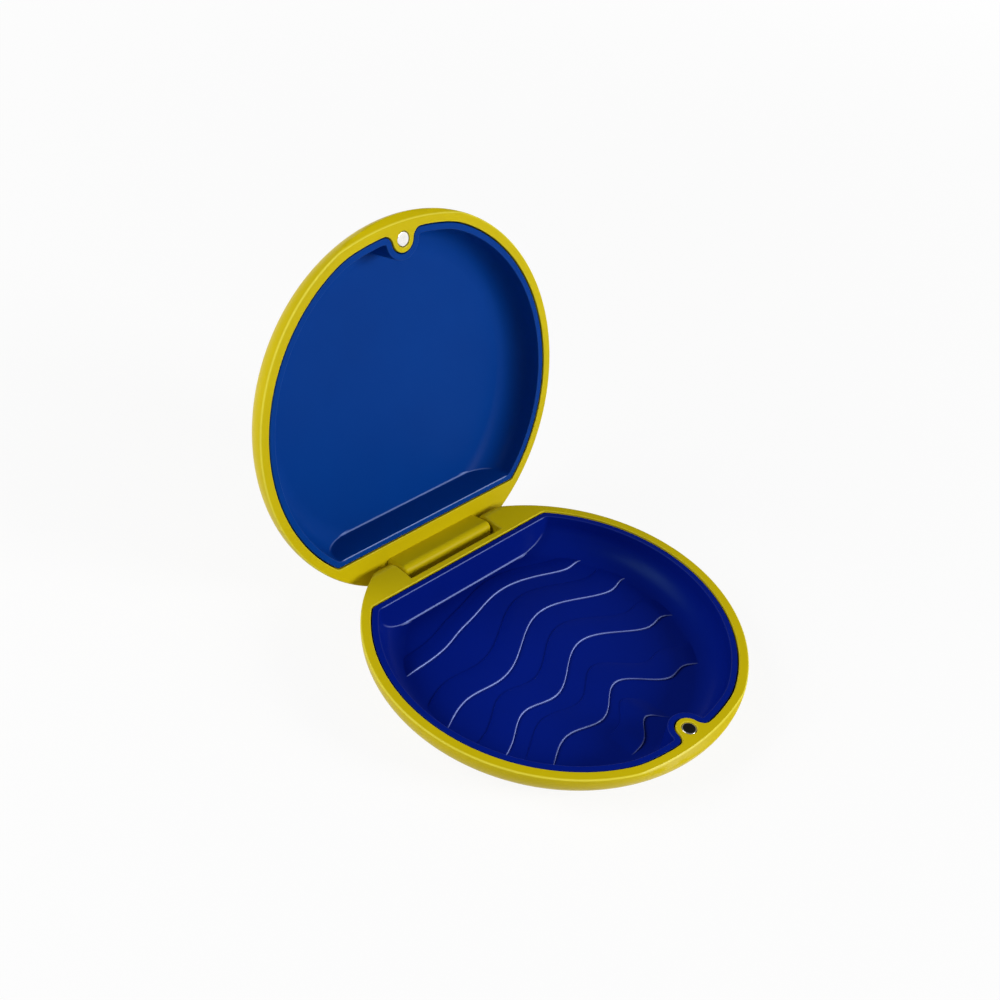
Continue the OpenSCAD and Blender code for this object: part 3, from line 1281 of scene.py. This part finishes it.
@dataclass(frozen=True)
class CaseHalf:
    """One half of the case: its shell, its tray and its magnet."""

    sizes: CaseSizes
    half: Half
    shell: bpy.types.Material
    tray: bpy.types.Material
    magnet: tuple[bpy.types.Material, bpy.types.Material]

    def build(self) -> None:
        """Builds the half's pieces and puts them in the frame."""
        name = self.half.value
        outline = OpeningOutline(self.sizes)
        shell = ShellForm(self.sizes, outline, self.half)
        tray = TrayForm(self.sizes, outline, self.half)
        pieces = (
            (shell, "hard_shell", [self.shell], "shell", "shell"),
            (tray, "soft_tray", [self.tray], f"{name}_tray", "liner"),
            (MagnetForm(self.sizes), "magnet_disc", self.magnet, "magnet", "magnet"),
        )
        for form, piece, materials, slot, node in pieces:
            mesh = form.draw()
            finish_piece(mesh, f"{name}_{piece}", self.half, self.sizes, materials, f"{name}_{node}")


@dataclass(frozen=True)
class Camera:
    """The camera at the photograph's place, in millimetres and degrees."""

    target: Triple = (0.19, 13.21, 25.0)
    azimuth: float = -51.94
    elevation: float = 39.33
    distance: float = 262.75
    roll: float = 9.56
    lens: float = 47.91
    sensor: float = 36.0
    shift_x: float = -0.02
    shift_y: float = 0.0356
    clip: float = 10.0

    def build(self) -> None:
        """Makes the camera and hands it to the scene."""
        turn, rise, roll = (math.radians(a) for a in (self.azimuth, self.elevation, self.roll))
        back = Vector((math.sin(turn) * math.cos(rise), -math.cos(turn) * math.cos(rise), math.sin(rise)))
        right = Vector((math.cos(turn), math.sin(turn), 0.0))
        up = back.cross(right)
        tilted_right = right * math.cos(roll) + up * math.sin(roll)
        tilted_up = up * math.cos(roll) - right * math.sin(roll)
        place = (Vector(self.target) + back * self.distance) * MM
        data = bpy.data.cameras.new("camera")
        data.lens = self.lens
        data.sensor_width = self.sensor
        data.sensor_fit = "HORIZONTAL"
        data.shift_x = self.shift_x
        data.shift_y = self.shift_y
        data.clip_start = self.clip * MM
        camera = put_in_scene("camera", data)
        axes = Matrix((tilted_right, tilted_up, back)).transposed().to_4x4()
        camera.matrix_world = Matrix.Translation(place) @ axes
        bpy.context.scene.camera = camera


@dataclass(frozen=True)
class SoftLight:
    """A soft box that points at the middle of the case, in metres and watts."""

    name: str
    place: Triple
    size: float
    power: float
    aim: Triple = (0.0, 0.015, 0.025)

    def build(self) -> None:
        """Makes the lamp."""
        data = bpy.data.lights.new(self.name, "AREA")
        data.shape = "SQUARE"
        data.size = self.size
        data.energy = self.power
        away = Vector(self.place) - Vector(self.aim)
        turn = away.to_track_quat("Z", "Y").to_matrix().to_4x4()
        put_in_scene(self.name, data).matrix_world = Matrix.Translation(self.place) @ turn


@dataclass(frozen=True)
class Studio:
    """A pale floor, a surround that is white at eye level and dim above, and soft light."""

    floor_half: float = 3.0
    floor_tint: float = 0.88
    floor_white: float = 0.9
    floor_near: float = 0.12
    floor_far: float = 0.6
    fill: float = 0.14
    ceiling: float = 0.2
    ceiling_low: float = 0.12
    ceiling_high: float = 0.4
    lights: tuple[SoftLight, ...] = (
        SoftLight("key_light", (0.28, -0.55, 0.27), 0.24, 3.7),
        SoftLight("back_light", (-0.43, 0.243, 0.373), 0.4, 2.7),
    )

    def build(self) -> None:
        """Makes the floor, the surround and the lamps."""
        self.build_floor()
        self.build_surround()
        for light in self.lights:
            light.build()

    def rays(self, graph: Graph) -> tuple[Wire, ...]:
        """Marks the rays that show the background.

        Args:
            graph: The node tree that asks.

        Returns:
            Three marks, each one or zero: seen directly, in a reflection, or through clear stuff.
        """
        path = graph.node("ShaderNodeLightPath", {}, {})
        names = ("Is Camera Ray", "Is Glossy Ray", "Is Transmission Ray")
        return tuple(Wire(graph, path.outputs[name]) for name in names)

    def build_floor(self) -> None:
        """Makes the floor, which keeps the shadow near the case and runs out to white."""
        mesh = bmesh.new()
        bmesh.ops.create_grid(mesh, x_segments=2, y_segments=2, size=self.floor_half)
        data = mesh_data(mesh, "floor")
        made, graph = new_material("pale_floor")
        plain = graph.add("ShaderNodeBsdfDiffuse", {}, {"Color": (*[self.floor_tint] * 3, 1.0)})
        white = graph.add("ShaderNodeEmission", {}, {"Color": WHITE, "Strength": 1.0})
        straight, glossy, through = self.rays(graph)
        seen = straight.maximum(glossy).maximum(through)
        place = graph.add("ShaderNodeTexCoord", {}, {}, "Object")
        away = graph.add("ShaderNodeVectorMath", {"operation": "LENGTH"}, {0: place}, "Value")
        far = (away - self.floor_near).maximum(0.0) * (1.0 / (self.floor_far - self.floor_near))
        share = far.minimum(1.0) * (1.0 - self.floor_white) + self.floor_white
        graph.surface(graph.add("ShaderNodeMixShader", {}, {0: seen * share, 1: plain, 2: white}))
        data.materials.append(made)
        floor = put_in_scene("floor", data)

    def build_surround(self) -> None:
        """Makes the world: white where it is seen, a dim ceiling in reflections, and an even fill light."""
        world = bpy.data.worlds.new("surround")
        world.use_nodes = True
        bpy.context.scene.world = world
        graph = Graph(world.node_tree)
        straight, glossy, through = self.rays(graph)
        way = graph.add("ShaderNodeTexCoord", {}, {}, "Generated")
        height = graph.add("ShaderNodeSeparateXYZ", {}, {0: way}, "Z")
        above = ((height - self.ceiling_low) * (1.0 / (self.ceiling_high - self.ceiling_low))).maximum(0.0)
        mirrored = 1.0 - above.minimum(1.0) * (1.0 - self.ceiling)
        seen = straight.maximum(through)
        other = (1.0 - seen) * (1.0 - glossy)
        strength = seen + glossy * (1.0 - seen) * mirrored + other * self.fill
        light = graph.add("ShaderNodeBackground", {}, {"Color": WHITE, "Strength": strength})
        graph.node("ShaderNodeOutputWorld", {}, {"Surface": light})


def main() -> None:
    """Builds the camera, the studio and the case."""
    logging.basicConfig(level=logging.INFO, format="%(name)s: %(message)s")
    bpy.context.scene.view_settings.view_transform = "Standard"
    Camera().build()
    Studio().build()
    sizes = CaseSizes()
    yellow = SHELL_YELLOW.material()
    nickel = MAGNET_NICKEL.material()
    # The base magnet's ends take the painted dark reflection; its edge stays nickel
    CaseHalf(sizes, Half.BASE, yellow, BASE_TRAY_BLUE_PAINTED_SHADE.material(), (MAGNET_PAINTED_DARK_REFLECTION.material(), nickel)).build()
    CaseHalf(sizes, Half.LID, yellow, LID_TRAY_BLUE.material(), (nickel, nickel)).build()
    pin = PinForm(sizes).draw()
    finish_piece(pin, "hinge_pin_rod", Half.BASE, sizes, [PIN_STEEL.material()], "hinge_pin")


if __name__ == "__main__":
    main()
